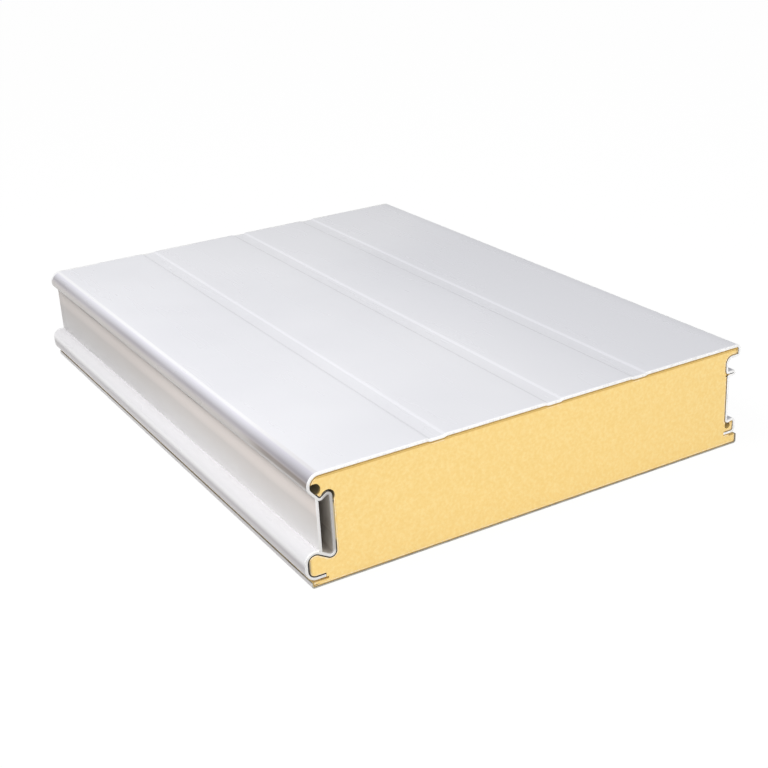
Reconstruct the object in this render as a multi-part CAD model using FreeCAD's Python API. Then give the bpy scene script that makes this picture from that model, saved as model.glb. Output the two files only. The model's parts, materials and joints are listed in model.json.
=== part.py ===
import FreeCAD, Part
import math
import os

# Insulated sandwich panel: two painted steel sheets bonded to a rigid foam core.
# The long edges are roll-formed for jointing, and the panel lies flat on its
# bottom sheet. X runs across the panel, Y along it and Z up. The origin is at the
# centre of the underside. All sizes are in millimetres.

# Panel
panel_width = 457.0        # over both long edges
panel_length = 635.0       # between the sawn ends
panel_thickness = 100.0    # over both sheets
top_gauge = 2.4            # steel of the top sheet and its rolled edges
bottom_gauge = 1.2         # steel of the bottom sheet

# Lengthwise grooves pressed into the top sheet
groove_places = [126.6, 244.6, 337.6]    # from the left edge to each groove's middle
groove_width = 18.0
groove_depth = 0.9
groove_wall_run = 2.2      # how far each sloping groove wall takes to reach the floor
groove_bend = 1.6          # bends of the grooves, on the middle of the steel

# Left edge: round nose, chin, hook, back wall of the channel, ledge and bead
nose_inset = 7.0           # the nose stands back this far from the bead
nose_radius = 11.0
cheek_drop = 14.0          # below the top, where the nose starts to slope to its chin
cheek_bend = 6.0
chin_inset = 17.0          # from the left edge to the chin's corner
chin_drop = 24.4           # the chin's corner below the top
chin_bend = 3.0
hook_rise = 6.6            # how far the sheet climbs from the chin to the hook's corner
hook_bend = 2.8
channel_depth = 28.4       # from the left edge to the foam behind the channel
ledge_slope = 30.0         # degrees, where the ledge climbs to the bead
ledge_bend = 3.5
bead_height = 25.2
bead_radius = 9.5
bead_lift = 7.2            # the bead's underside above the floor
bead_tail = 18.0           # from the left edge to the end of the top sheet
left_slit = 2.0            # open height between the bead and the bottom lip
left_slit_depth = 20.0
bottom_lip_inset = 4.5     # the bottom sheet's left lip stands back this far

# Cavities that the foam leaves behind the nose
nose_hollow_radius = 5.2
nose_hollow_place = (13.3, 14.0)    # from the left edge, and down from the top
hook_gap = 2.2

# Strip that closes the left channel
strip_gauge = 2.8
strip_inset = 12.9         # from the left edge to the strip's outer face

# Right edge: lip, upper recess, folded shelf, main recess and tongue
lip_height = 11.6
lip_radius = 4.0
lip_bend = 1.6
upper_recess_depth = 16.4  # from the right edge to the foam behind the upper recess
recess_depth = 14.6        # from the right edge to the foam behind the main recess
recess_bend = 6.0
shelf_drop = 24.2          # the shelf's upper face below the top
shelf_gap = 0.6            # between the two layers of the folded sheet
shelf_inset = 4.5          # the shelf's tip stands back this far
shelf_bend = 2.0
tongue_inset = 2.5         # the tongue's face stands back this far
tongue_height = 15.6
tongue_lift = 12.0         # the tongue's underside above the floor
tongue_radius = 4.0
tongue_slope = 12.0        # degrees
tongue_tail = 16.0         # from the right edge to the end of the top sheet
right_slit = 2.6
right_slit_depth = 9.0
valley_hollow_radius = 3.2 # cavity of the foam beside the tongue
bottom_bend = 2.4          # outer radius of the bottom sheet's upturned lips


left = -panel_width / 2
right = panel_width / 2
half_top = top_gauge / 2
half_bottom = bottom_gauge / 2
touching = 1e-6            # points nearer than this are one point


def point(x, z):
    """A point of the section, on the near end of the panel."""
    return FreeCAD.Vector(x, -panel_length / 2, z)


def sideways(start, end, shift):
    """The vector that moves the line from start to end to its left by shift."""
    along = (end - start).normalize()
    return FreeCAD.Vector(-along.z, 0, along.x) * shift


def shifted_corners(path, shift):
    """The corners of a path of (x, z, bend), moved to its left by shift."""
    points = [point(x, z) for x, z, bend in path]
    moved = [(points[0] + sideways(points[0], points[1], shift), 0)]
    for before, here, after, corner in zip(points, points[1:], points[2:], path[1:]):
        came = sideways(before, here, 1.0)
        goes = sideways(here, after, 1.0)
        across = (came + goes) / (1 + came.dot(goes))
        turn = came.x * goes.z - came.z * goes.x
        moved.append((here + across * shift, corner[2] - shift * math.copysign(1, turn)))
    moved.append((points[-1] + sideways(points[-2], points[-1], shift), 0))
    return moved


def straight(start, end):
    """The edge from start to end, or nothing where two bends meet."""
    if start.distanceToPoint(end) < touching:
        return []
    return [Part.LineSegment(start, end).toShape()]


def rounded_edges(corners):
    """Straight runs joined by tangent arcs through a list of (point, radius)."""
    edges = []
    start = corners[0][0]
    for (before, _), (here, radius), (after, _) in zip(corners, corners[1:], corners[2:]):
        back = (before - here).normalize()
        ahead = (after - here).normalize()
        half_angle = back.getAngle(ahead) / 2
        run = radius / math.tan(half_angle)
        middle = (back + ahead).normalize() * (radius / math.sin(half_angle) - radius)
        edges += straight(start, here + back * run)
        arc = Part.Arc(here + back * run, here + middle, here + ahead * run)
        edges.append(arc.toShape())
        start = here + ahead * run
    return edges + straight(start, corners[-1][0])


def sheet_section(path, gauge):
    """The section of a bent sheet, whose mid-line is a path of (x, z, bend)."""
    one_side = shifted_corners(path, gauge / 2)
    other_side = shifted_corners(path, -gauge / 2)[::-1]
    edges = rounded_edges(one_side)
    edges += straight(one_side[-1][0], other_side[0][0])
    edges += rounded_edges(other_side)
    edges += straight(other_side[-1][0], one_side[0][0])
    return Part.Face(Part.Wire(edges))


def rectangle(x_low, x_high, z_low, z_high):
    corners = [(x_low, z_low), (x_high, z_low), (x_high, z_high), (x_low, z_high)]
    corners.append(corners[0])
    return Part.Face(Part.makePolygon([point(x, z) for x, z in corners]))


def disc(x, z, radius):
    circle = Part.makeCircle(radius, point(x, z), FreeCAD.Vector(0, 1, 0))
    return Part.Face(Part.Wire(circle))


def full_length(section):
    """The section extruded from the near end to the far end."""
    return section.extrude(FreeCAD.Vector(0, panel_length, 0)).Solids[0]


def left_edge_path():
    """From the slit under the bead up to the start of the flat top."""
    wall = left + channel_depth - half_top
    face = left + half_top
    bead_bottom = bead_lift + half_top
    bead_bend = bead_radius - half_top
    slope = math.radians(ledge_slope)
    bead_top = bead_lift + bead_height - half_top
    crest = bead_top - bead_bend + bead_bend * math.tan(math.pi / 4 + slope / 2)
    valley = crest - (wall - face) * math.tan(slope)
    nose_bend = nose_radius - half_top
    nose_face = face + nose_inset
    chin = panel_thickness - chin_drop
    return [
        (left + bead_tail, bead_bottom, 0),
        (face, bead_bottom, bead_bend),
        (face, crest, bead_bend),
        (wall, valley, ledge_bend),
        (wall, chin + hook_rise, hook_bend),
        (left + chin_inset, chin, chin_bend),
        (nose_face, panel_thickness - cheek_drop, cheek_bend),
        (nose_face, panel_thickness - half_top, nose_bend),
    ]


def groove_path():
    """The three grooves, from left to right."""
    surface = panel_thickness - half_top
    corners = []
    for place in groove_places:
        start = left + place - groove_width / 2
        end = start + groove_width
        corners += [
            (start, surface, groove_bend),
            (start + groove_wall_run, surface - groove_depth, groove_bend),
            (end - groove_wall_run, surface - groove_depth, groove_bend),
            (end, surface, groove_bend),
        ]
    return corners


def right_edge_path():
    """From the end of the flat top down to the slit under the tongue."""
    surface = panel_thickness - half_top
    face = right - half_top
    upper_wall = right - upper_recess_depth + half_top
    wall = right - recess_depth + half_top
    upper_layer = panel_thickness - shelf_drop - half_top
    lower_layer = upper_layer - top_gauge - shelf_gap
    tip = right - shelf_inset - half_top
    fold = (upper_layer - lower_layer) / 2
    tongue_face = right - tongue_inset - half_top
    tongue_bend = tongue_radius - half_top
    tongue_bottom = tongue_lift + half_top
    tongue_top = tongue_lift + tongue_height - half_top
    valley = tongue_top - (tongue_face - wall) * math.tan(math.radians(tongue_slope))
    return [
        (face, surface, lip_radius - half_top),
        (face, surface - lip_height + top_gauge, lip_bend),
        (upper_wall, surface - lip_height + top_gauge, recess_bend),
        (upper_wall, upper_layer, shelf_bend),
        (tip, upper_layer, fold),
        (tip, lower_layer, fold),
        (wall, lower_layer, shelf_bend),
        (wall, valley, shelf_bend),
        (tongue_face, tongue_top, tongue_bend),
        (tongue_face, tongue_bottom, tongue_bend),
        (right - tongue_tail, tongue_bottom, 0),
    ]


def bottom_path():
    """The bottom sheet: a flat pan with its two long edges turned up."""
    left_face = left + bottom_lip_inset + half_bottom
    right_face = right - half_bottom
    bend = bottom_bend - half_bottom
    return [
        (left_face, bead_lift - left_slit, 0),
        (left_face, half_bottom, bend),
        (right_face, half_bottom, bend),
        (right_face, tongue_lift - right_slit, 0),
    ]


def slits():
    """The open gaps under the bead, under the tongue and inside the folded shelf."""
    under_bead = rectangle(left, left + left_slit_depth, bead_lift - left_slit, bead_lift)
    under_tongue = rectangle(right - right_slit_depth, right, tongue_lift - right_slit, tongue_lift)
    upper_layer = panel_thickness - shelf_drop - top_gauge
    inside_shelf = rectangle(right - recess_depth, right, upper_layer - shelf_gap, upper_layer)
    return [under_bead, under_tongue, inside_shelf]


def cavities():
    """The hollow inside the nose, the gap over the hook's crest and the hollow by the tongue."""
    across, down = nose_hollow_place
    hollow = disc(left + across, panel_thickness - down, nose_hollow_radius)
    (wall, corner, bend), (chin_x, chin, _) = left_edge_path()[4:6]
    half_turn = (math.pi / 2 - math.atan2(corner - chin, wall - chin_x)) / 2
    gap = disc(wall - bend, corner - bend / math.tan(half_turn), bend + half_top + hook_gap)
    wall, valley, _ = right_edge_path()[7]
    radius = valley_hollow_radius
    beside_tongue = disc(wall + radius / 2, valley - radius, radius)
    return [hollow, gap, beside_tongue]


def core_section(sheets):
    """Everything between the sheets that no slit or cavity leaves open."""
    block = rectangle(left, right, 0, panel_thickness)
    pieces = block.cut(sheets + slits() + cavities()).Faces
    return max(pieces, key=lambda face: face.Area)


def closing_strip(top_sheet):
    """A flat strip that stands on the ledge and reaches up to the nose."""
    outer = left + strip_inset
    low = bead_lift + bead_height - top_gauge
    high = panel_thickness - cheek_drop
    blank = full_length(rectangle(outer, outer + strip_gauge, low, high))
    return max(blank.cut(top_sheet).Solids, key=lambda solid: solid.Volume)


top_section = sheet_section(left_edge_path() + groove_path() + right_edge_path(), top_gauge)
bottom_section = sheet_section(bottom_path(), bottom_gauge)
top_sheet = full_length(top_section)

nodes = {
    "top_sheet": top_sheet,
    "bottom_sheet": full_length(bottom_section),
    "foam_core": full_length(core_section([top_section, bottom_section])),
    "closing_strip": closing_strip(top_sheet),
}

os.makedirs("parts", exist_ok=True)
for name, shape in nodes.items():
    shape.exportStep("parts/" + name + ".step")
    box = shape.BoundBox
    print(name, "valid", shape.isValid(), "volume", round(shape.Volume), "mm3",
          "size", round(box.XLength, 2), round(box.YLength, 2), round(box.ZLength, 2))
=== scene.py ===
import bpy
import json
import math
from mathutils import Matrix, Vector

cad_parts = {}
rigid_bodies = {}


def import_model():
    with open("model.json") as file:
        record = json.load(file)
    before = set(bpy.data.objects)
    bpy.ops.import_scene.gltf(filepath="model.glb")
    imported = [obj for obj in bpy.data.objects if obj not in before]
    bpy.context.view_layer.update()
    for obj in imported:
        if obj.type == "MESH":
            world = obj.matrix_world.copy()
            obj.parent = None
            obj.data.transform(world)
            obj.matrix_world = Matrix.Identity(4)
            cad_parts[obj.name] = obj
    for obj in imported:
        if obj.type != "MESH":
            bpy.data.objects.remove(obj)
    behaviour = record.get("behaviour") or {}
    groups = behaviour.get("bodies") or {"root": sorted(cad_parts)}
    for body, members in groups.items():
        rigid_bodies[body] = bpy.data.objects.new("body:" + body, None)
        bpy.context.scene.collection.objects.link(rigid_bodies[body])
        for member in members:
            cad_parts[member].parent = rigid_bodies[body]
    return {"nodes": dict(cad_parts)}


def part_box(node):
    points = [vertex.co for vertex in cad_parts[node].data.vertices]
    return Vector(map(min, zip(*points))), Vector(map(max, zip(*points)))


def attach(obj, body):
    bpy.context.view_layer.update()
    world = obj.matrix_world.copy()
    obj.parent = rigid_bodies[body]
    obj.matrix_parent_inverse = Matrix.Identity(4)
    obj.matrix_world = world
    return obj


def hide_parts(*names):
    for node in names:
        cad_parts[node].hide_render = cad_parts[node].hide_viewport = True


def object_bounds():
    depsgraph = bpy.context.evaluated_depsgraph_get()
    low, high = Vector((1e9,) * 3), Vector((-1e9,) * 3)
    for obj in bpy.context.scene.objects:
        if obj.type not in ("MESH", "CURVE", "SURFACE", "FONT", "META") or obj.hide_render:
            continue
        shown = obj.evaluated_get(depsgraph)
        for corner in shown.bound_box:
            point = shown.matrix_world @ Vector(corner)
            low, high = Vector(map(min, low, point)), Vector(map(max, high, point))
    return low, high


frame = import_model()
cadBox = [list(corner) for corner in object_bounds()]
low, high = Vector(cadBox[0]), Vector(cadBox[1])
length = high.y - low.y
touching = 1e-6  # points nearer than this are one point
print("frame loaded, panel", [round(size, 4) for size in high - low])


# everyday steps
def deselectAll():
    if bpy.context.mode != "OBJECT":
        bpy.ops.object.mode_set(mode="OBJECT")
    bpy.ops.object.select_all(action="DESELECT")


def makeActive(piece):
    deselectAll()
    piece.select_set(True)
    bpy.context.view_layer.objects.active = piece


def pick(piece, kind, test):
    # selects the verts, edges or faces that pass the test, and stays in edit mode
    makeActive(piece)
    bpy.ops.object.mode_set(mode="EDIT")
    bpy.ops.mesh.select_mode(type=kind)
    bpy.ops.mesh.select_all(action="DESELECT")
    bpy.ops.object.mode_set(mode="OBJECT")
    mesh = piece.data
    parts = {"VERT": mesh.vertices, "EDGE": mesh.edges, "FACE": mesh.polygons}[kind]
    for part in parts:
        part.select = test(part)
    bpy.ops.object.mode_set(mode="EDIT")


def applyModifier(piece, kind, **settings):
    makeActive(piece)
    bpy.ops.object.modifier_add(type=kind)
    modifier = piece.modifiers[-1]
    for setting, value in settings.items():
        setattr(modifier, setting, value)
    bpy.ops.object.modifier_apply(modifier=modifier.name)


def copyOfNode(node, name):
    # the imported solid's mesh is loose triangles, so the copy is merged into one skin
    source = frame["nodes"][node]
    makeActive(source)
    bpy.ops.object.duplicate()
    piece = bpy.context.object
    piece.name = name
    piece.data.materials.clear()
    bpy.ops.object.mode_set(mode="EDIT")
    bpy.ops.mesh.select_all(action="SELECT")
    bpy.ops.mesh.remove_doubles(threshold=touching * 10)
    bpy.ops.object.mode_set(mode="OBJECT")
    return piece


# material helpers
def newMaterial(name):
    material = bpy.data.materials.new(name)
    material.use_nodes = True
    tree = material.node_tree
    coords = tree.nodes.new("ShaderNodeTexCoord")
    return material, tree, tree.nodes["Principled BSDF"], coords.outputs["Object"]


def addNoise(tree, coords, scale, detail=2.0, roughness=0.5, stretch=None):
    # the settings give a noise as its scale, detail, roughness and stretch
    noise = tree.nodes.new("ShaderNodeTexNoise")
    noise.inputs["Scale"].default_value = scale
    noise.inputs["Detail"].default_value = detail
    noise.inputs["Roughness"].default_value = roughness
    if stretch:
        mapping = tree.nodes.new("ShaderNodeMapping")
        mapping.inputs["Scale"].default_value = stretch
        tree.links.new(coords, mapping.inputs["Vector"])
        coords = mapping.outputs["Vector"]
    tree.links.new(coords, noise.inputs["Vector"])
    return noise.outputs["Fac"]


def addRamp(tree, value, stops):
    ramp = tree.nodes.new("ShaderNodeValToRGB")
    bar = ramp.color_ramp
    while len(bar.elements) < len(stops):
        bar.elements.new(0.5)
    for element, (place, color) in zip(bar.elements, stops):
        element.position = place
        element.color = (*color, 1)
    tree.links.new(value, ramp.inputs["Fac"])
    return ramp.outputs["Color"]


def addMath(tree, operation, *values):
    node = tree.nodes.new("ShaderNodeMath")
    node.operation = operation
    for socket, value in zip(node.inputs, values):
        if isinstance(value, (int, float)):
            socket.default_value = value
        else:
            tree.links.new(value, socket)
    return node.outputs[0]


def multiply(tree, first, *others):
    product = first
    for value in others:
        product = addMath(tree, "MULTIPLY", product, value)
    return product


def addMix(tree, share, first, second, blend="MIX"):
    mix = tree.nodes.new("ShaderNodeMix")
    mix.data_type = "RGBA"
    mix.blend_type = blend
    for socket, value in ((mix.inputs[0], share), (mix.inputs[6], first), (mix.inputs[7], second)):
        if isinstance(value, tuple):
            socket.default_value = (*value, 1)
        elif isinstance(value, float):
            socket.default_value = value
        else:
            tree.links.new(value, socket)
    return mix.outputs[2]


def addRange(tree, value, fromLow, fromHigh, toLow=0.0, toHigh=1.0):
    node = tree.nodes.new("ShaderNodeMapRange")
    node.interpolation_type = "SMOOTHSTEP"
    for socket, number in zip(node.inputs[1:5], (fromLow, fromHigh, toLow, toHigh)):
        socket.default_value = number
    tree.links.new(value, node.inputs["Value"])
    return node.outputs["Result"]


def addBump(tree, bsdf, height, strength, distance):
    bump = tree.nodes.new("ShaderNodeBump")
    bump.inputs["Strength"].default_value = strength
    bump.inputs["Distance"].default_value = distance
    tree.links.new(height, bump.inputs["Height"])
    tree.links.new(bump.outputs["Normal"], bsdf.inputs["Normal"])


def addDrift(tree, bsdf, noise, roughness):
    # the roughness goes from one value to the other where the noise swings most
    tree.links.new(addRange(tree, noise, 0.3, 0.7, *roughness), bsdf.inputs["Roughness"])


def splitCoords(tree, coords):
    split = tree.nodes.new("ShaderNodeSeparateXYZ")
    tree.links.new(coords, split.inputs["Vector"])
    return split.outputs


def inSection(tree, coords, left, right, bottom, top, blur):
    # 1 inside this box of the panel's section, with left and right counted from the left edge
    place = splitCoords(tree, coords)
    return multiply(
        tree,
        addRange(tree, place["X"], low.x + left - blur, low.x + left + blur),
        addRange(tree, place["X"], low.x + right - blur, low.x + right + blur, 1.0, 0.0),
        addRange(tree, place["Z"], bottom - blur, bottom + blur),
        addRange(tree, place["Z"], top - blur, top + blur, 1.0, 0.0),
    )


# white coil coating: faint clouding, painted highlight and shade on the nose and bead, painted shade
# on the flats, and roughness that drifts over the sheet
coating = {
    "light": (0.86, 0.862, 0.90),
    "dullToneAndShade": (0.815, 0.818, 0.86),
    "clouds": (3.5, 3.0, 0.55),
    # painted shade makes the flats a little darker to the right and near the sawn end
    "deepestShade": (0.792, 0.796, 0.84),
    "shadeAcross": (-0.02, 0.12),
    "shadeAlong": (0.05, 0.25),
    # the rounded nose has a painted highlight along its top and painted shade below it, by height
    "noseShadeAndHighlight": (
        (0.0765, (0.60, 0.56, 0.54)),
        (0.0890, (0.62, 0.58, 0.55)),
        (0.0913, (0.55, 0.51, 0.50)),
        (0.0938, (0.42, 0.395, 0.42)),
        (0.0950, (0.42, 0.40, 0.43)),
        (0.0964, (0.53, 0.52, 0.555)),
        (0.0980, (0.65, 0.645, 0.70)),
        (0.0991, (0.76, 0.75, 0.82)),
        (0.0996, (0.90, 0.90, 0.92)),
        (0.1000, (0.94, 0.94, 0.955)),
    ),
    "noseEnd": 0.0178,      # how far from the left edge the nose reaches
    # boxes of the section are given as left, right, bottom, top and blur
    "nose": (-0.01, 0.0178, 0.0932, 0.1006, 0.0008),
    "noseShadeLength": 0.16,       # the nose gets painted shade over this length from the near end
    "noseNearShade": (0.80, 0.79, 0.80),
    # brown painted shade under the nose near the near end
    "underNose": (-0.01, 0.0178, 0.0880, 0.0926, 0.0011),
    "underNoseShade": (0.17, 0.125, 0.10),
    "underNoseShadeShare": 0.8,
    "underNoseShadeLength": 0.13,
    # the bead has a painted highlight along its face and painted shade below it, by height
    "beadShadeAndHighlight": (
        (0.0000, (0.78, 0.75, 0.75)),
        (0.0150, (0.74, 0.71, 0.715)),
        (0.0175, (0.62, 0.59, 0.60)),
        (0.0193, (0.53, 0.505, 0.52)),
        (0.0208, (0.62, 0.60, 0.615)),
        (0.0222, (0.78, 0.765, 0.775)),
        (0.0240, (0.93, 0.92, 0.93)),
        (0.0255, (0.96, 0.95, 0.96)),
        (0.0272, (0.89, 0.88, 0.90)),
        (0.0305, (0.82, 0.81, 0.83)),
        (0.0320, (0.79, 0.78, 0.80)),
        (0.0345, (0.80, 0.79, 0.80)),
    ),
    "beadEnd": 0.0150,
    "bandStart": -0.01,     # outside the left edge
    "bandBelow": 0.002,
    "bandBlur": 0.0006,
    "runs": (30, 3.0, 0.6, (1, 0.12, 1)),
    # colour of the saw burr and of the painted highlight
    "burrAndHighlight": (0.98, 0.98, 0.985),
    "burrWidth": 0.0016,
    "farHighlight": 0.004,       # width of the broken painted highlight at the far end and along the right edge
    "farHighlightFade": 0.8,        # it is whole from here on, as a share of its width
    "farHighlightBreaks": (90, 2.0),
    "farHighlightBroken": (0.42, 0.55),
    "primer": (0.95, 0.89, 0.82),
    "primerDark": (0.84, 0.76, 0.68),
    # painted shade deep in the closed channel
    "channelShade": (0.045, 0.032, 0.027),
    "primerClouds": (60, 4.0, 0.6),
    "channel": (0.0157, 0.0289, 0.023, 0.0835, 0.0004),
    "channelFade": 0.045,   # how deep in the channel the primer is free of painted shade
    "roughness": (0.24, 0.34),
    "wiping": (14, 4.0, 0.6, (1, 0.15, 1)),
}


def addShadeBand(tree, coords, color, stops, reach, runs):
    # the stops give the painted shade and highlight colours by height
    bottom, top = stops[0][0], stops[-1][0]
    height = splitCoords(tree, coords)["Z"]
    share = addMath(tree, "DIVIDE", addMath(tree, "SUBTRACT", height, bottom), top - bottom)
    shadeBand = addRamp(tree, share, [((spot - bottom) / (top - bottom), tint) for spot, tint in stops])
    start, below, blur = coating["bandStart"], coating["bandBelow"], coating["bandBlur"]
    area = inSection(tree, coords, start, reach, bottom - below, top + blur, blur)
    return addMix(tree, multiply(tree, area, runs), color, shadeBand)


def addNoseShade(tree, coords, color, runs):
    # painted shade on the near end of the nose, and a brown painted shade under it
    along = splitCoords(tree, coords)["Y"]
    nose = inSection(tree, coords, *coating["nose"])
    nearness = addRange(tree, along, low.y, low.y + coating["noseShadeLength"], 1.0, 0.0)
    share = multiply(tree, nose, nearness)
    color = addMix(tree, share, color, coating["noseNearShade"], "MULTIPLY")
    # brown painted shade under the nose, fading out along it
    reach = coating["underNoseShadeLength"]
    nearness = addRange(tree, along, low.y + reach / 2, low.y + reach, 1.0, 0.0)
    under = inSection(tree, coords, *coating["underNose"])
    underNoseShade = multiply(tree, under, nearness, runs, coating["underNoseShadeShare"])
    return addMix(tree, underNoseShade, color, coating["underNoseShade"])


def addBurrAndHighlight(tree, coords, color):
    # bare bright burr where the saw went through the sheet, and a broken painted highlight along the
    # far end and the right edge
    place = splitCoords(tree, coords)
    end = length / 2
    width = coating["burrWidth"]
    fromMiddle = addMath(tree, "ABSOLUTE", place["Y"])
    burrAndHighlight = addRange(tree, fromMiddle, end - width, end - width / 2)
    broken = addRange(tree, addNoise(tree, coords, *coating["farHighlightBreaks"]), *coating["farHighlightBroken"])
    width = coating["farHighlight"]
    whole = width * coating["farHighlightFade"]
    farHighlight = addRange(tree, place["Y"], end - width, end - whole)
    rightEdgeHighlight = addRange(tree, place["X"], high.x - width, high.x - whole)
    farHighlight = multiply(tree, addMath(tree, "MAXIMUM", farHighlight, rightEdgeHighlight), broken)
    return addMix(tree, addMath(tree, "MAXIMUM", burrAndHighlight, farHighlight), color, coating["burrAndHighlight"])


def makeCoating():
    material, tree, bsdf, coords = newMaterial("whiteCoilCoating")
    place = splitCoords(tree, coords)
    clouds = addNoise(tree, coords, *coating["clouds"])
    color = addRamp(tree, clouds, [(0.35, coating["dullToneAndShade"]), (0.6, coating["light"])])
    # painted shade on the flats, darker to the right
    across = addRange(tree, place["X"], *coating["shadeAcross"])
    along = addRange(tree, place["Y"], *coating["shadeAlong"], 1.0, 0.0)
    color = addMix(tree, multiply(tree, across, along), color, coating["deepestShade"])
    # the closed channel has primer only, with painted shade deep inside it
    stops = [(0.35, coating["primerDark"]), (0.65, coating["primer"])]
    primer = addRamp(tree, addNoise(tree, coords, *coating["primerClouds"]), stops)
    fromMiddle = addMath(tree, "ABSOLUTE", place["Y"])
    fade = addRange(tree, fromMiddle, length / 2 - coating["channelFade"], length / 2)
    primer = addMix(tree, fade, coating["channelShade"], primer)
    color = addMix(tree, inSection(tree, coords, *coating["channel"]), color, primer)
    # painted shade and highlight on the nose and bead, in long uneven runs
    runs = addRange(tree, addNoise(tree, coords, *coating["runs"]), 0.25, 0.6, 0.8, 1.0)
    color = addShadeBand(tree, coords, color, coating["noseShadeAndHighlight"], coating["noseEnd"], runs)
    color = addShadeBand(tree, coords, color, coating["beadShadeAndHighlight"], coating["beadEnd"], runs)
    color = addNoseShade(tree, coords, color, runs)
    color = addBurrAndHighlight(tree, coords, color)
    tree.links.new(color, bsdf.inputs["Base Color"])
    addDrift(tree, bsdf, addNoise(tree, coords, *coating["wiping"]), coating["roughness"])
    return material


# the thin coat on the hidden side of the steel, darker and duller
backCoat = {
    "light": (0.34, 0.335, 0.32),
    "dark": (0.20, 0.195, 0.185),
    "blotches": (45, 4.0, 0.6),
    "roughness": 0.6,
    "relief": (0.2, 0.0001),    # strength and depth
}


def makeBackCoat():
    material, tree, bsdf, coords = newMaterial("steelBackCoat")
    blotches = addNoise(tree, coords, *backCoat["blotches"])
    color = addRamp(tree, blotches, [(0.35, backCoat["dark"]), (0.65, backCoat["light"])])
    tree.links.new(color, bsdf.inputs["Base Color"])
    bsdf.inputs["Roughness"].default_value = backCoat["roughness"]
    addBump(tree, bsdf, blotches, *backCoat["relief"])
    return material


# sawn steel edge: bright, with fine marks of the blade running down it
cutEdge = {
    "bright": (0.95, 0.945, 0.94),
    "grey": (0.80, 0.79, 0.78),
    # painted shade on the cut edge round the channel and the hook
    "shadedTone": (0.70, 0.69, 0.68),
    "hookShade": (0.34, 0.32, 0.30),
    "marks": (260, 3.0, 0.6, (3, 1, 0.4)),
    "joint": (-0.01, 0.033, 0.0, 0.093, 0.002),
    "jointShare": 0.8,
    "hook": (0.0190, 0.0302, 0.028, 0.0835, 0.0025),
    "hookShare": 0.7,
    "roughness": (0.3, 0.5),
    "metallic": 0.15,
    "relief": (0.4, 0.00008),
}


def makeCutEdge():
    material, tree, bsdf, coords = newMaterial("sawnSteelEdge")
    marks = addNoise(tree, coords, *cutEdge["marks"])
    color = addRamp(tree, marks, [(0.3, cutEdge["grey"]), (0.55, cutEdge["bright"])])
    # painted shade on the cut edge of the hook and of the wall round the channel
    joint = inSection(tree, coords, *cutEdge["joint"])
    color = addMix(tree, multiply(tree, joint, cutEdge["jointShare"]), color, cutEdge["shadedTone"])
    hook = inSection(tree, coords, *cutEdge["hook"])
    color = addMix(tree, multiply(tree, hook, cutEdge["hookShare"]), color, cutEdge["hookShade"])
    tree.links.new(color, bsdf.inputs["Base Color"])
    bsdf.inputs["Metallic"].default_value = cutEdge["metallic"]
    addDrift(tree, bsdf, marks, cutEdge["roughness"])
    addBump(tree, bsdf, marks, *cutEdge["relief"])
    return material


# roll-formed sheets, drawn along the middle of their steel and then given their gauge
outerSheet = {
    "gauge": 0.0024,
    "groovePlaces": (0.1266, 0.2446, 0.3376),  # from the left edge to each groove's middle
    "grooveWidth": 0.018,
    "grooveDepth": 0.0009,
    "grooveWallRun": 0.0026,
    "grooveBend": 0.0031,
    "noseInset": 0.007,
    "noseRadius": 0.011,
    "cheekDrop": 0.014,
    "cheekBend": 0.006,
    "chinInset": 0.017,
    "chinDrop": 0.0244,
    "chinBend": 0.003,
    "hookRise": 0.0066,
    "hookBend": 0.0028,
    "channelDepth": 0.0284,
    "ledgeSlope": 30,
    "ledgeBend": 0.0035,
    "beadHeight": 0.0252,
    "beadRadius": 0.0095,
    "beadLift": 0.0072,
    "beadTail": 0.018,
    "lipHeight": 0.0116,
    "lipRadius": 0.004,
    "lipBend": 0.0016,
    "upperRecessDepth": 0.0164,
    "recessDepth": 0.0146,
    "recessBend": 0.006,
    "shelfDrop": 0.0242,
    "shelfGap": 0.0006,
    "shelfInset": 0.0045,
    "shelfBend": 0.002,
    "tongueInset": 0.0025,
    "tongueHeight": 0.0156,
    "tongueLift": 0.012,
    "tongueRadius": 0.004,
    "tongueSlope": 12,
    "tongueTail": 0.016,
    "flatHop": 0.012,       # the flats are drawn in hops of about this
    "flatSlack": 0.0001,    # faces this near to the top surface are flats
    "rowSpacing": 0.016,
    "arris": 0.0004,
    # shallow dips of the flats: across from the left edge, along from the middle, deep, wide
    "dips": (
        (0.060, -0.10, 0.00022, 0.11),
        (0.185, 0.08, 0.00028, 0.13),
        (0.290, -0.14, 0.00018, 0.10),
        (0.400, 0.05, 0.00024, 0.12),
        (0.185, -0.22, 0.00014, 0.09),
        (0.400, 0.22, 0.00016, 0.10),
    ),
}


def leftEdgeCorners(sheet):
    # from the slit under the bead up to the start of the flat top, as (x, z, bend)
    half = sheet["gauge"] / 2
    wall = low.x + sheet["channelDepth"] - half
    face = low.x + half
    beadBottom = sheet["beadLift"] + half
    beadBend = sheet["beadRadius"] - half
    slope = math.radians(sheet["ledgeSlope"])
    beadTop = sheet["beadLift"] + sheet["beadHeight"] - half
    crest = beadTop - beadBend + beadBend * math.tan(math.pi / 4 + slope / 2)
    noseBend = sheet["noseRadius"] - half
    noseFace = face + sheet["noseInset"]
    chin = high.z - sheet["chinDrop"]
    return [
        (low.x + sheet["beadTail"], beadBottom, 0),
        (face, beadBottom, beadBend),
        (face, crest, beadBend),
        (wall, crest - (wall - face) * math.tan(slope), sheet["ledgeBend"]),
        (wall, chin + sheet["hookRise"], sheet["hookBend"]),
        (low.x + sheet["chinInset"], chin, sheet["chinBend"]),
        (noseFace, high.z - sheet["cheekDrop"], sheet["cheekBend"]),
        (noseFace, high.z - half, noseBend),
    ]


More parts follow.
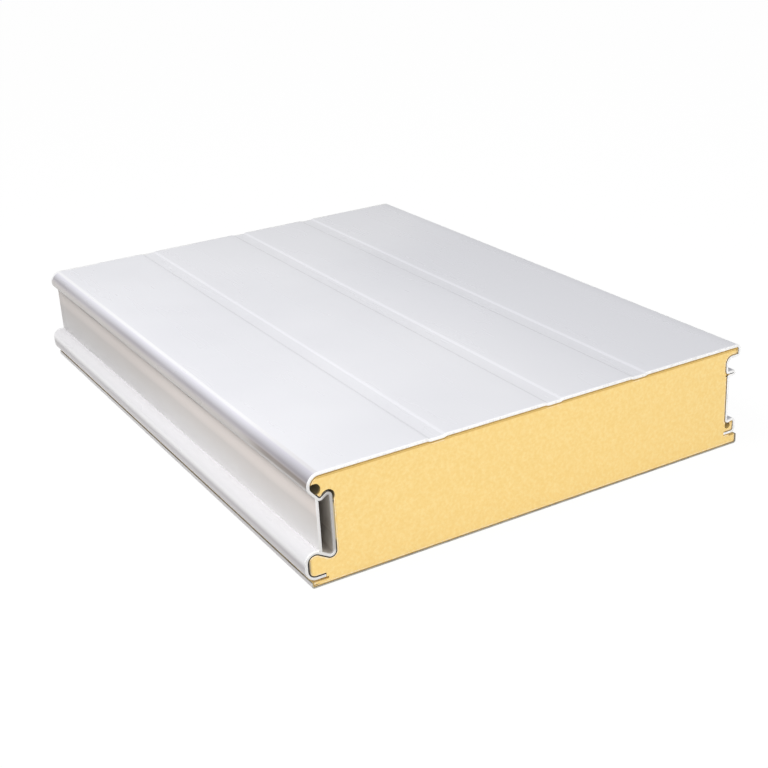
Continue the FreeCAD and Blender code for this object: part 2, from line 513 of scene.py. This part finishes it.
def grooveCorners(sheet):
    surface = high.z - sheet["gauge"] / 2
    corners = []
    for place in sheet["groovePlaces"]:
        start = low.x + place - sheet["grooveWidth"] / 2
        end = start + sheet["grooveWidth"]
        bend = sheet["grooveBend"]
        corners += [
            (start, surface, bend),
            (start + sheet["grooveWallRun"], surface - sheet["grooveDepth"], bend),
            (end - sheet["grooveWallRun"], surface - sheet["grooveDepth"], bend),
            (end, surface, bend),
        ]
    return corners


def rightEdgeCorners(sheet):
    # from the end of the flat top down to the slit under the tongue
    gauge = sheet["gauge"]
    half = gauge / 2
    surface = high.z - half
    face = high.x - half
    lipBottom = surface - sheet["lipHeight"] + gauge
    upperWall = high.x - sheet["upperRecessDepth"] + half
    wall = high.x - sheet["recessDepth"] + half
    upperLayer = high.z - sheet["shelfDrop"] - half
    lowerLayer = upperLayer - gauge - sheet["shelfGap"]
    tip = high.x - sheet["shelfInset"] - half
    fold = (upperLayer - lowerLayer) / 2
    tongueFace = high.x - sheet["tongueInset"] - half
    tongueBend = sheet["tongueRadius"] - half
    tongueBottom = sheet["tongueLift"] + half
    tongueTop = sheet["tongueLift"] + sheet["tongueHeight"] - half
    valley = tongueTop - (tongueFace - wall) * math.tan(math.radians(sheet["tongueSlope"]))
    return [
        (face, surface, sheet["lipRadius"] - half),
        (face, lipBottom, sheet["lipBend"]),
        (upperWall, lipBottom, sheet["recessBend"]),
        (upperWall, upperLayer, sheet["shelfBend"]),
        (tip, upperLayer, fold),
        (tip, lowerLayer, fold),
        (wall, lowerLayer, sheet["shelfBend"]),
        (wall, valley, sheet["shelfBend"]),
        (tongueFace, tongueTop, tongueBend),
        (tongueFace, tongueBottom, tongueBend),
        (high.x - sheet["tongueTail"], tongueBottom, 0),
    ]


# how both sheets are rolled from their section lines
rolling = {
    "wideBend": 0.003,      # bends above this radius turn in the finer steps
    "wideStep": 9,          # degrees
    "tightStep": 24,
    "endRows": (0.003, 0.007),  # short rows at both ends keep them straight where the flats dip
    "shrink": 0.99995,      # a hair smaller about the middle, so that rounding keeps it in the box
    "arrisSteps": 2,
    "arrisAngle": 50,
    "smoothAngle": 32,
}


def startPen(name, spot):
    # the pen is a small plane merged to one point, which the line is then drawn from
    deselectAll()
    bpy.ops.mesh.primitive_plane_add(size=0.01, location=spot)
    piece = bpy.context.object
    piece.name = name
    bpy.ops.object.transform_apply(location=True, rotation=False, scale=False)
    bpy.ops.object.mode_set(mode="EDIT")
    bpy.ops.mesh.select_mode(type="VERT")
    bpy.ops.mesh.select_all(action="SELECT")
    bpy.ops.mesh.merge(type="CENTER")
    return piece


def runTo(spot, goal, hop):
    way = goal - spot
    if way.length < touching:
        return
    hops = max(1, round(way.length / hop))
    for _ in range(hops):
        bpy.ops.mesh.extrude_vertices_move(TRANSFORM_OT_translate={"value": way / hops})


def drawSheet(name, corners, hop):
    # straight runs are extruded and bends are spun, on the near end
    points = [Vector((x, low.y, z)) for x, z, bend in corners]
    piece = startPen(name, points[0])
    spot = points[0]
    for before, here, after, (_, _, bend) in zip(points, points[1:], points[2:], corners[1:]):
        comes = (here - before).normalized()
        goes = (after - here).normalized()
        turn = math.atan2(comes.x * goes.z - comes.z * goes.x, comes.dot(goes))
        run = bend * math.tan(abs(turn) / 2)
        runTo(spot, here - comes * run, hop)
        spot = here - comes * run
        middle = spot + Vector((-comes.z, 0, comes.x)) * math.copysign(bend, turn)
        step = rolling["wideStep"] if bend > rolling["wideBend"] else rolling["tightStep"]
        steps = max(2, math.ceil(abs(turn) / math.radians(step)))
        bpy.ops.mesh.spin(steps=steps, angle=turn, center=middle, axis=(0, 1, 0))
        spot = here + goes * run
    runTo(spot, points[-1], hop)
    return piece


def copyOfLine(piece):
    # the bare section line is kept, because the saw follows it through the foam later
    makeActive(piece)
    bpy.ops.object.duplicate()
    line = bpy.context.object
    bpy.ops.object.mode_set(mode="EDIT")
    bpy.ops.mesh.select_all(action="SELECT")
    bpy.ops.mesh.remove_doubles(threshold=touching)
    makeActive(piece)
    bpy.ops.object.mode_set(mode="EDIT")
    return line


def pullLengthwise(spacing):
    # the open line is pulled along in rows of about this spacing
    endRows = list(rolling["endRows"])
    middle = length - 2 * sum(endRows)
    count = round(middle / spacing)
    bpy.ops.mesh.select_all(action="SELECT")
    for row in endRows + [middle / count] * count + endRows[::-1]:
        bpy.ops.mesh.extrude_region_move(TRANSFORM_OT_translate={"value": (0, row, 0)})
    bpy.ops.mesh.select_all(action="SELECT")
    bpy.ops.transform.resize(value=[rolling["shrink"]] * 3, center_override=(low + high) / 2)


def turnCoating(piece, side, coated):
    # the coated faces look up where side is 1, and down where it is -1
    bpy.ops.mesh.select_all(action="SELECT")
    bpy.ops.mesh.remove_doubles(threshold=touching)
    bpy.ops.mesh.normals_make_consistent(inside=False)
    bpy.ops.object.mode_set(mode="OBJECT")
    if side * sum(face.normal.z for face in piece.data.polygons if coated(face)) < 0:
        bpy.ops.object.mode_set(mode="EDIT")
        bpy.ops.mesh.select_all(action="SELECT")
        bpy.ops.mesh.flip_normals()
        bpy.ops.object.mode_set(mode="OBJECT")


def dipFlats(piece, sheet):
    for across, along, deep, wide in sheet["dips"]:
        spot = Vector((low.x + across, along, high.z - sheet["gauge"] / 2))
        nearest = min(piece.data.vertices, key=lambda vert: (vert.co - spot).length).index
        pick(piece, "VERT", lambda vert: vert.index == nearest)
        bpy.ops.transform.translate(
            value=(0, 0, -deep),
            use_proportional_edit=True,
            proportional_edit_falloff="SMOOTH",
            proportional_size=wide,
        )
        bpy.ops.object.mode_set(mode="OBJECT")


def giveGauge(piece, gauge, arris, materials):
    # materials: coated side, hidden side, sawn edges
    for material in materials:
        piece.data.materials.append(material)
    applyModifier(
        piece, "SOLIDIFY", thickness=gauge, offset=0, use_even_offset=True,
        material_offset=1, material_offset_rim=2,
    )
    applyModifier(
        piece, "BEVEL", width=arris, segments=rolling["arrisSteps"], limit_method="ANGLE",
        angle_limit=math.radians(rolling["arrisAngle"]), use_clamp_overlap=False,
    )
    makeActive(piece)
    bpy.ops.object.shade_smooth_by_angle(angle=math.radians(rolling["smoothAngle"]))


def makeOuterSheet(coat, back, edge):
    sheet = outerSheet
    corners = leftEdgeCorners(sheet) + grooveCorners(sheet) + rightEdgeCorners(sheet)
    piece = drawSheet("outerSheet", corners, sheet["flatHop"])
    line = copyOfLine(piece)
    pullLengthwise(sheet["rowSpacing"])
    surface = high.z - sheet["gauge"] / 2
    turnCoating(piece, 1, lambda face: face.center.z > surface - sheet["flatSlack"])
    dipFlats(piece, sheet)
    giveGauge(piece, sheet["gauge"], sheet["arris"], (coat, back, edge))
    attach(piece, "root")
    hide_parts("top_sheet")
    return line


# the plain pan under the foam, with both long edges turned up
bottomPan = {
    "gauge": 0.0012,
    "bend": 0.0024,
    "leftGap": 0.002,       # below the bead
    "rightGap": 0.0026,     # below the tongue
    "hop": 0.02,
    "rowSpacing": 0.03,
    "arris": 0.00015,
    "edgeLight": (0.50, 0.485, 0.41),
    "edgeDark": (0.33, 0.31, 0.26),
    "edgeBlotches": (70, 4.0, 0.65),
    "edgeRoughness": 0.6,
    "edgeRelief": (0.3, 0.0001),
}


def makePanEdge():
    # the pan's thin cut edge is a dark olive grey, in blotches
    material, tree, bsdf, coords = newMaterial("darkPanEdge")
    blotches = addNoise(tree, coords, *bottomPan["edgeBlotches"])
    stops = [(0.35, bottomPan["edgeDark"]), (0.65, bottomPan["edgeLight"])]
    tree.links.new(addRamp(tree, blotches, stops), bsdf.inputs["Base Color"])
    bsdf.inputs["Roughness"].default_value = bottomPan["edgeRoughness"]
    addBump(tree, bsdf, blotches, *bottomPan["edgeRelief"])
    return material


def makeBottomPan(coat, back, edge):
    pan = bottomPan
    lowest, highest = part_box("bottom_sheet")
    half = pan["gauge"] / 2
    bend = pan["bend"] - half
    leftTop = outerSheet["beadLift"] - pan["leftGap"]
    rightTop = outerSheet["tongueLift"] - pan["rightGap"]
    corners = [
        (highest[0] - half, rightTop, 0),
        (highest[0] - half, half, bend),
        (lowest[0] + half, half, bend),
        (lowest[0] + half, leftTop, 0),
    ]
    piece = drawSheet("bottomPan", corners, pan["hop"])
    line = copyOfLine(piece)
    pullLengthwise(pan["rowSpacing"])
    turnCoating(piece, -1, lambda face: True)
    giveGauge(piece, pan["gauge"], pan["arris"], (coat, back, edge))
    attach(piece, "root")
    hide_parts("bottom_sheet")
    return line


# rigid foam: cells, clouds of lighter and darker foam, painted shade deep in the hollows
foam = {
    "pale": (0.98, 0.735, 0.305),
    "middle": (0.96, 0.69, 0.262),
    "deep": (0.94, 0.66, 0.235),
    # painted shade in the hollows, with painted light on their lit side
    "hollowShade": (0.035, 0.03, 0.025),
    "hollowShadeBlotch": (0.42, 0.30, 0.13),
    "hollowLitSide": (0.40, 0.33, 0.20),
    "clouds": (95, 3.0, 0.6),
    "cells": (330, 2.0, 0.6),
    "cellShare": 0.8,
    "specks": 900,
    "speckShare": 0.4,
    "roughness": 0.9,
    "relief": (0.5, 0.0004),
    "hollowShadeBlotches": (420, 2.0, 0.5),
    "hollowShadeBlotched": (0.46, 0.60),
    "hollowShadeDepth": (0.0003, 0.003),       # the painted shade starts and is full this deep from the end
    "litSideFrom": (-0.001, 0.008),       # across the nose hollow, on its slope
    "scorched": (0.72, 0.48, 0.13),
    "scorch": (0.0947, 0.0954),         # from and up to these heights
    "scorchShare": 0.85,
    # painted shade in the foam that filled the bead
    "beadShade": (0.30, 0.235, 0.12),
    "beadBody": (-0.01, 0.0050, 0.009, 0.031, 0.0022),
    "beadBodyShare": 0.6,
    # painted shade in the gap beside the bead's steel
    "beadGapShade": (0.06, 0.05, 0.045),
    "beadRim": (-0.01, 0.0046, 0.0085, 0.0285, 0.0012),
    "beadRimShare": 0.9,
    "torn": (0.97, 0.80, 0.52),
    "tornCells": (300, 3.0, 0.6),
    "tornRoughness": 0.95,
    "tornRelief": (0.6, 0.0005),
    "glue": (0.60, 0.40, 0.12),
    "glueDark": (0.50, 0.31, 0.08),
    "glueBlotches": (120, 3.0, 0.6),
    "glueRoughness": 0.7,
    "glueRelief": (0.4, 0.0003),
    # painted shade in the groove along the left joint
    "jointGapShade": (0.035, 0.03, 0.028),
    "joint": (-0.01, 0.0302, 0.007, 0.090, 0.0012),
    "wallGlue": (0.66, 0.54, 0.30),
    "wall": (0.0270, 0.0310, 0.037, 0.070, 0.002),
    "wallShare": 0.85,
    "cutsAcross": 16,       # cells across, then heights and places beside the rolled edges
    "cutsUp": (0.0045, 0.025, 0.048, 0.071, 0.0934),
    "cutsBeside": (0.031, 0.4395),
    "gap": 0.0011,          # groove that the saw leaves between the steel and the foam
    "gapDepth": 0.0009,
    "rim": 0.0012,          # torn edge of the foam beside the groove
    "rimDrop": 0.00035,
    "sawClear": 0.001,      # the cut starts this far outside the foam
    # hollows: across from the left edge, height, radius; the first is the nose's
    "hollows": ((0.0133, 0.086, 0.0056), (0.0244, 0.0765, 0.0066), (0.4445, 0.0225, 0.0038)),
    "hollowBlur": 0.0006,
    "tongueHollowShade": (0.05, 0.08, 0.095),
    "tongueFrom": (0.40, 0.41),         # from here to the right edge the painted shade is slate
}


def addScorch(tree, coords, color):
    # scorched along the top sheet
    height = splitCoords(tree, coords)["Z"]
    share = multiply(tree, addRange(tree, height, *foam["scorch"]), foam["scorchShare"])
    return addMix(tree, share, color, foam["scorched"])


def inHollows(tree, x, z):
    inside = None
    for across, height, radius in foam["hollows"]:
        sideways = addMath(tree, "SUBTRACT", x, low.x + across)
        upwards = addMath(tree, "SUBTRACT", z, height)
        sideways = multiply(tree, sideways, sideways)
        upwards = multiply(tree, upwards, upwards)
        distance = addMath(tree, "SQRT", addMath(tree, "ADD", sideways, upwards))
        near = addRange(tree, distance, radius, radius + foam["hollowBlur"], 1.0, 0.0)
        inside = near if inside is None else addMath(tree, "MAXIMUM", inside, near)
    return inside


def addHollowShade(tree, coords, color):
    # inside a hollow and away from the sawn ends the foam gets painted shade
    x, y, z = splitCoords(tree, coords)
    start, full = foam["hollowShadeDepth"]
    fromMiddle = addMath(tree, "ABSOLUTE", y)
    ends = addRange(tree, fromMiddle, length / 2 - full, length / 2 - start, 1.0, 0.0)
    # with painted light low on the side away from the edge
    across, height = foam["hollows"][0][:2]
    slope = low.x + across - height
    sideways = addMath(tree, "SUBTRACT", x, z)
    litSide = addRange(tree, sideways, *[slope + step for step in foam["litSideFrom"]])
    blotches = addNoise(tree, coords, *foam["hollowShadeBlotches"])
    blotches = addRange(tree, blotches, *foam["hollowShadeBlotched"])
    blotched = addMix(tree, blotches, foam["hollowShade"], foam["hollowShadeBlotch"])
    hollowShade = addMix(tree, litSide, blotched, foam["hollowLitSide"])
    slate = addRange(tree, x, *[low.x + place for place in foam["tongueFrom"]])
    hollowShade = addMix(tree, slate, hollowShade, foam["tongueHollowShade"])
    return addMix(tree, multiply(tree, inHollows(tree, x, z), ends), color, hollowShade)


def makeFoamMaterial():
    material, tree, bsdf, coords = newMaterial("rigidFoam")
    clouds = multiply(tree, addNoise(tree, coords, *foam["clouds"]), 1 - foam["cellShare"])
    cells = addNoise(tree, coords, *foam["cells"])
    speck = tree.nodes.new("ShaderNodeTexVoronoi")
    speck.inputs["Scale"].default_value = foam["specks"]
    tree.links.new(coords, speck.inputs["Vector"])
    blend = addMath(tree, "ADD", clouds, multiply(tree, cells, foam["cellShare"]))
    color = addRamp(tree, blend, [(0.36, foam["deep"]), (0.5, foam["middle"]), (0.66, foam["pale"])])
    color = addScorch(tree, coords, color)
    # painted shade where it filled the bead
    bead = inSection(tree, coords, *foam["beadBody"])
    color = addMix(tree, multiply(tree, bead, foam["beadBodyShare"]), color, foam["beadShade"])
    color = addHollowShade(tree, coords, color)
    tree.links.new(color, bsdf.inputs["Base Color"])
    bsdf.inputs["Roughness"].default_value = foam["roughness"]
    specks = multiply(tree, speck.outputs["Distance"], foam["speckShare"])
    addBump(tree, bsdf, addMath(tree, "ADD", cells, specks), *foam["relief"])
    return material


def makeFoamRim():
    # torn cells beside the steel, paler than the sawn face
    material, tree, bsdf, coords = newMaterial("tornFoamRim")
    cells = addNoise(tree, coords, *foam["tornCells"])
    color = addRamp(tree, cells, [(0.35, foam["middle"]), (0.6, foam["torn"])])
    color = addScorch(tree, coords, color)
    # painted shade in the gap beside the bead's steel
    bead = inSection(tree, coords, *foam["beadRim"])
    color = addMix(tree, multiply(tree, bead, foam["beadRimShare"]), color, foam["beadGapShade"])
    tree.links.new(color, bsdf.inputs["Base Color"])
    bsdf.inputs["Roughness"].default_value = foam["tornRoughness"]
    addBump(tree, bsdf, cells, *foam["tornRelief"])
    return material


def makeGlue():
    # adhesive and scorched foam against the steel
    material, tree, bsdf, coords = newMaterial("glueLine")
    blotches = addNoise(tree, coords, *foam["glueBlotches"])
    color = addRamp(tree, blotches, [(0.35, foam["glueDark"]), (0.65, foam["glue"])])
    # painted shade in the groove along the left joint
    color = addMix(tree, inSection(tree, coords, *foam["joint"]), color, foam["jointGapShade"])
    wall = inSection(tree, coords, *foam["wall"])
    color = addMix(tree, multiply(tree, wall, foam["wallShare"]), color, foam["wallGlue"])
    tree.links.new(color, bsdf.inputs["Base Color"])
    bsdf.inputs["Roughness"].default_value = foam["glueRoughness"]
    addBump(tree, bsdf, blotches, *foam["glueRelief"])
    return material


def sawBeside(piece, line, end, width, depth, material):
    # a step of this width and depth in the foam's end, along the middle of the steel
    makeActive(line)
    bpy.ops.object.duplicate()
    kerf = bpy.context.object
    bpy.ops.object.mode_set(mode="EDIT")
    bpy.ops.mesh.select_mode(type="VERT")
    bpy.ops.mesh.select_all(action="SELECT")
    clear = math.copysign(foam["sawClear"], end)
    inwards = math.copysign(foam["sawClear"] + depth, -end)
    bpy.ops.transform.translate(value=(0, end + clear - low.y, 0))
    bpy.ops.mesh.extrude_region_move(TRANSFORM_OT_translate={"value": (0, inwards, 0)})
    bpy.ops.mesh.select_all(action="SELECT")
    bpy.ops.mesh.normals_make_consistent(inside=False)
    bpy.ops.object.mode_set(mode="OBJECT")
    kerf.data.materials.append(material)
    applyModifier(kerf, "SOLIDIFY", thickness=width, offset=0, use_even_offset=True)
    applyModifier(
        piece, "BOOLEAN", operation="DIFFERENCE", solver="MANIFOLD",
        material_mode="TRANSFER", object=kerf,
    )
    bpy.data.objects.remove(kerf)


def cutIntoCells(piece):
    # smaller faces, so that none is long and thin beside the saw's grooves
    pick(piece, "FACE", lambda face: True)
    width = high.x - low.x
    count = foam["cutsAcross"]
    places = [width * step / count for step in range(1, count)]
    planes = [((low.x + place, 0, 0), (1, 0, 0)) for place in places + list(foam["cutsBeside"])]
    planes += [((0, 0, height), (0, 0, 1)) for height in foam["cutsUp"]]
    for spot, direction in planes:
        bpy.ops.mesh.select_all(action="SELECT")
        bpy.ops.mesh.bisect(plane_co=spot, plane_no=direction)
    bpy.ops.object.mode_set(mode="OBJECT")


def makeFoam(sheetLines):
    body, rim, glue = makeFoamMaterial(), makeFoamRim(), makeGlue()
    piece = copyOfNode("foam_core", "foamBlock")
    piece.data.materials.append(body)
    cutIntoCells(piece)
    for line, gauge in sheetLines:
        grooveWidth = gauge + 2 * foam["gap"]
        for end in (low.y, high.y):
            sawBeside(piece, line, end, grooveWidth + 2 * foam["rim"], foam["rimDrop"], rim)
            sawBeside(piece, line, end, grooveWidth, foam["gapDepth"], glue)
    makeActive(piece)
    bpy.ops.object.shade_flat()
    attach(piece, "root")
    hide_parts("foam_core")


# the flat strip that closes the left channel
strip = {
    # painted light low on the strip, painted shadow of the nose towards its top, a painted light
    # line at the very top, and painted shade towards the far end
    "light": (0.98, 0.965, 0.96),
    "dullToneAndShade": (0.76, 0.71, 0.68),
    "paintedLightTop": (0.90, 0.82, 0.775),
    "farShade": 0.76,        # share of the light that the paint keeps at the far end, as painted shade
    "shadeFrom": 0.036,      # the painted shadow of the nose grows from here up to the nose
    "shadeTo": 0.076,
    "deepestShade": 0.88,        # share of that height where the painted shadow is deepest
    "waves": ((-0.23, 0.0003), (-0.08, -0.00035), (0.07, 0.0003), (0.22, -0.0003)),
    "waveReach": 0.09,
    "rows": 31,
    "roughness": (0.3, 0.42),
    "clouds": (9, 3.0, 0.55, (1, 0.3, 1)),
    "wander": 0.012,        # how far the clouds lift the painted shadow
    "peel": (480, 2.0),
    "relief": (0.2, 0.00003),
    "scribe": 0.0033,       # how much lower its inner edge ends, along the slope of the nose
    "arris": 0.0003,
    "arrisSteps": 2,
    "arrisAngle": 40,
    "facing": 0.9,          # a face belongs to a side when its normal leans this much that way
}


def makeStripPaint():
    material, tree, bsdf, coords = newMaterial("stripPaint")
    clouds = addNoise(tree, coords, *strip["clouds"])
    place = splitCoords(tree, coords)
    wander = addMath(tree, "ADD", place["Z"], multiply(tree, clouds, strip["wander"]))
    height = addRange(tree, wander, strip["shadeFrom"], strip["shadeTo"])
    # painted light low down, painted shadow of the nose near the top, a lighter painted line at the
    # very top
    tones = ((0.0, strip["light"]), (strip["deepestShade"], strip["dullToneAndShade"]), (1.0, strip["paintedLightTop"]))
    color = addRamp(tree, height, tones)
    # painted shade towards the far end
    farTones = [(spot, tuple(part * strip["farShade"] for part in tone)) for spot, tone in tones]
    shadedTone = addRamp(tree, height, farTones)
    color = addMix(tree, addRange(tree, place["Y"], low.y, high.y), color, shadedTone)
    tree.links.new(color, bsdf.inputs["Base Color"])
    addDrift(tree, bsdf, clouds, strip["roughness"])
    addBump(tree, bsdf, addNoise(tree, coords, *strip["peel"]), *strip["relief"])
    return material


def giveSlot(piece, slot, test):
    pick(piece, "FACE", test)
    piece.active_material_index = slot
    bpy.ops.object.material_slot_assign()
    bpy.ops.object.mode_set(mode="OBJECT")


def edgeWay(piece, edge):
    start, end = (piece.data.vertices[index].co for index in edge.vertices)
    return end - start


def makeStrip(paint, back, edge):
    lowest, highest = (Vector(corner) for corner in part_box("closing_strip"))
    deselectAll()
    bpy.ops.mesh.primitive_cube_add(size=1, location=(lowest + highest) / 2, scale=highest - lowest)
    piece = bpy.context.object
    piece.name = "closingStrip"
    bpy.ops.object.transform_apply(location=True, rotation=False, scale=True)
    for material in (paint, back, edge):
        piece.data.materials.append(material)
    middle = (lowest.x + highest.x) / 2
    pick(piece, "VERT", lambda vert: vert.co.z > highest.z - touching and vert.co.x > middle)
    bpy.ops.transform.translate(value=(0, 0, -strip["scribe"]))
    # a few rows, so that the long strip can bow a little
    pick(piece, "EDGE", lambda edge: abs(edgeWay(piece, edge).y) > length / 2)
    bpy.ops.mesh.subdivide(number_cuts=strip["rows"])
    for along, bow in strip["waves"]:
        nearest = min(abs(vert.co.y - along) for vert in piece.data.vertices)
        pick(piece, "VERT", lambda vert: abs(vert.co.y - along) < nearest + touching)
        bpy.ops.transform.translate(
            value=(bow, 0, 0), use_proportional_edit=True,
            proportional_edit_falloff="SMOOTH", proportional_size=strip["waveReach"],
        )
    giveSlot(piece, 1, lambda face: face.normal.x > strip["facing"])
    giveSlot(piece, 2, lambda face: abs(face.normal.y) > strip["facing"])
    applyModifier(
        piece, "BEVEL", width=strip["arris"], segments=strip["arrisSteps"], limit_method="ANGLE",
        angle_limit=math.radians(strip["arrisAngle"]),
    )
    makeActive(piece)
    bpy.ops.object.shade_smooth_by_angle(angle=math.radians(rolling["smoothAngle"]))
    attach(piece, "root")
    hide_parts("closing_strip")


# studio
studio = {
    "floorSize": 30,
    "floorColor": (0.36, 0.36, 0.36),
    "floorGrain": (40, 2.0),
    "floorLift": 1.03,      # how much lighter the grain is
    "floorRoughness": 0.9,
    "floorGlow": 0.86,
    "floorStrength": 1.12,
    "fill": 0.45,
    "keySpot": (-0.85, -0.05, 1.35),
    "keySize": 0.8,
    "keyPower": 14.7,
    "frontSpot": (0.0, -2.4, 0.3),
    "frontSize": 1.0,
    "frontPower": 30.5,
    "aim": (0, 0, 0.05),
}


def makeFloor():
    deselectAll()
    bpy.ops.mesh.primitive_plane_add(size=studio["floorSize"], location=(0, 0, 0))
    floor = bpy.context.object
    floor.name = "studioFloor"
    material, tree, bsdf, coords = newMaterial("paleFloor")
    nodes, links = tree.nodes, tree.links
    grain = addNoise(tree, coords, *studio["floorGrain"])
    lighter = tuple(channel * studio["floorLift"] for channel in studio["floorColor"])
    color = addRamp(tree, grain, [(0.3, studio["floorColor"]), (0.7, lighter)])
    links.new(color, bsdf.inputs["Base Color"])
    bsdf.inputs["Roughness"].default_value = studio["floorRoughness"]
    glow = nodes.new("ShaderNodeEmission")
    glow.inputs["Strength"].default_value = studio["floorStrength"]
    path = nodes.new("ShaderNodeLightPath")
    seen = addMath(tree, "MAXIMUM", path.outputs["Is Camera Ray"], path.outputs["Is Glossy Ray"])
    seen = addMath(tree, "MAXIMUM", seen, path.outputs["Is Transmission Ray"])
    mix = nodes.new("ShaderNodeMixShader")
    links.new(multiply(tree, seen, studio["floorGlow"]), mix.inputs[0])
    links.new(bsdf.outputs[0], mix.inputs[1])
    links.new(glow.outputs[0], mix.inputs[2])
    links.new(mix.outputs[0], nodes["Material Output"].inputs["Surface"])
    floor.data.materials.append(material)


def addLamp(name, spot, size, power):
    bpy.ops.object.light_add(type="AREA", location=spot)
    lamp = bpy.context.object
    lamp.name = name
    lamp.data.shape = "DISK"
    lamp.data.size = size
    lamp.data.energy = power
    aim = Vector(studio["aim"]) - lamp.location
    lamp.rotation_euler = aim.to_track_quat("-Z", "Y").to_euler()


def makeLights():
    world = bpy.data.worlds.new("studio")
    bpy.context.scene.world = world
    world.use_nodes = True
    nodes, links = world.node_tree.nodes, world.node_tree.links
    path = nodes.new("ShaderNodeLightPath")
    seen = nodes.new("ShaderNodeMapRange")
    links.new(path.outputs["Is Camera Ray"], seen.inputs["Value"])
    seen.inputs["To Min"].default_value = studio["fill"]
    seen.inputs["To Max"].default_value = 1.0
    links.new(seen.outputs["Result"], nodes["Background"].inputs["Strength"])
    nodes["Background"].inputs["Color"].default_value = (1, 1, 1, 1)
    addLamp("keyLamp", studio["keySpot"], studio["keySize"], studio["keyPower"])
    addLamp("frontLamp", studio["frontSpot"], studio["frontSize"], studio["frontPower"])


# beside the near left corner, looking down along the panel
shot = {
    "spot": (-0.61718, -1.15221, 0.56217),
    "azimuth": -29.315,
    "elevation": 22.899,
    "roll": -3.192,
    "lens": 62.99,
    "sensor": 36,
}


def makeCamera():
    bpy.ops.object.camera_add(location=shot["spot"])
    camera = bpy.context.object
    camera.data.lens = shot["lens"]
    camera.data.sensor_width = shot["sensor"]
    turn = Matrix.Rotation(math.radians(shot["azimuth"]), 3, "Z")
    tip = Matrix.Rotation(math.radians(90 - shot["elevation"]), 3, "X")
    lean = Matrix.Rotation(math.radians(shot["roll"]), 3, "Z")
    camera.rotation_euler = (turn @ tip @ lean).to_euler()
    bpy.context.scene.camera = camera


coat = makeCoating()
back = makeBackCoat()
edge = makeCutEdge()
print("materials ready")
outerLine = makeOuterSheet(coat, back, edge)
panLine = makeBottomPan(coat, back, makePanEdge())
print("both sheets formed")
sheetLines = [(outerLine, outerSheet["gauge"]), (panLine, bottomPan["gauge"])]
makeFoam(sheetLines)
for line, gauge in sheetLines:
    bpy.data.objects.remove(line)
print("foam sawn")
makeStrip(makeStripPaint(), back, edge)
print("strip in place")
makeFloor()
makeLights()
makeCamera()
bpy.context.scene.view_settings.view_transform = "Standard"

for piece in bpy.context.scene.objects:
    if piece.type == "MESH":
        print(piece.name, len(piece.data.polygons), "faces")
